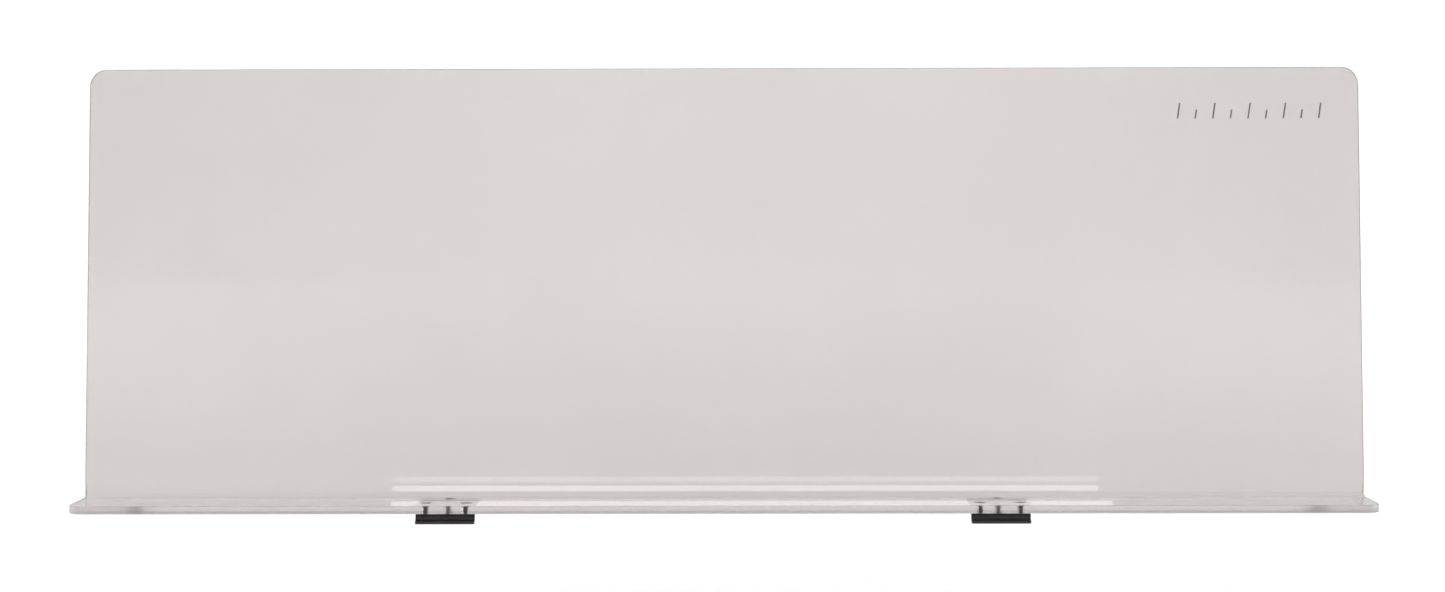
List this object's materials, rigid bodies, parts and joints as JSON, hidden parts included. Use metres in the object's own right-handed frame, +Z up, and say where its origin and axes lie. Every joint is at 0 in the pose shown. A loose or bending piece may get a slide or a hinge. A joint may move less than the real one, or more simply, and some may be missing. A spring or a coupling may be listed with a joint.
{
  "type": "music rest",
  "caption": "Wide, low music rest of clear acrylic: a panel leaning back from a shallow ledge, on black hook clips that catch under the lip of a keyboard's top panel.",
  "frame": {"origin": "midway between the two clips, where the seat plane of their pads meets the front faces of their webs", "axes": "+X along the sheet to the reader's right, +Y away from the reader, +Z up"},
  "size_m": [0.65, 0.0699, 0.2273],
  "materials": {
    "acrylic": "clear cast acrylic with a faint warm grey tint, polished faces and edges",
    "clip_black": "satin black powder coat",
    "pad_rubber": "matt black",
    "screw_steel": "blackened steel, worn a little lighter in places"
  },
  "bodies": {
    "root": {"rest_sheet": "acrylic", "left_clip": "clip_black", "right_clip": "clip_black", "left_pad": "pad_rubber", "right_pad": "pad_rubber", "left_screw_1": "screw_steel", "left_screw_2": "screw_steel", "left_screw_3": "screw_steel", "right_screw_1": "screw_steel", "right_screw_2": "screw_steel", "right_screw_3": "screw_steel"}
  },
  "joints": []
}
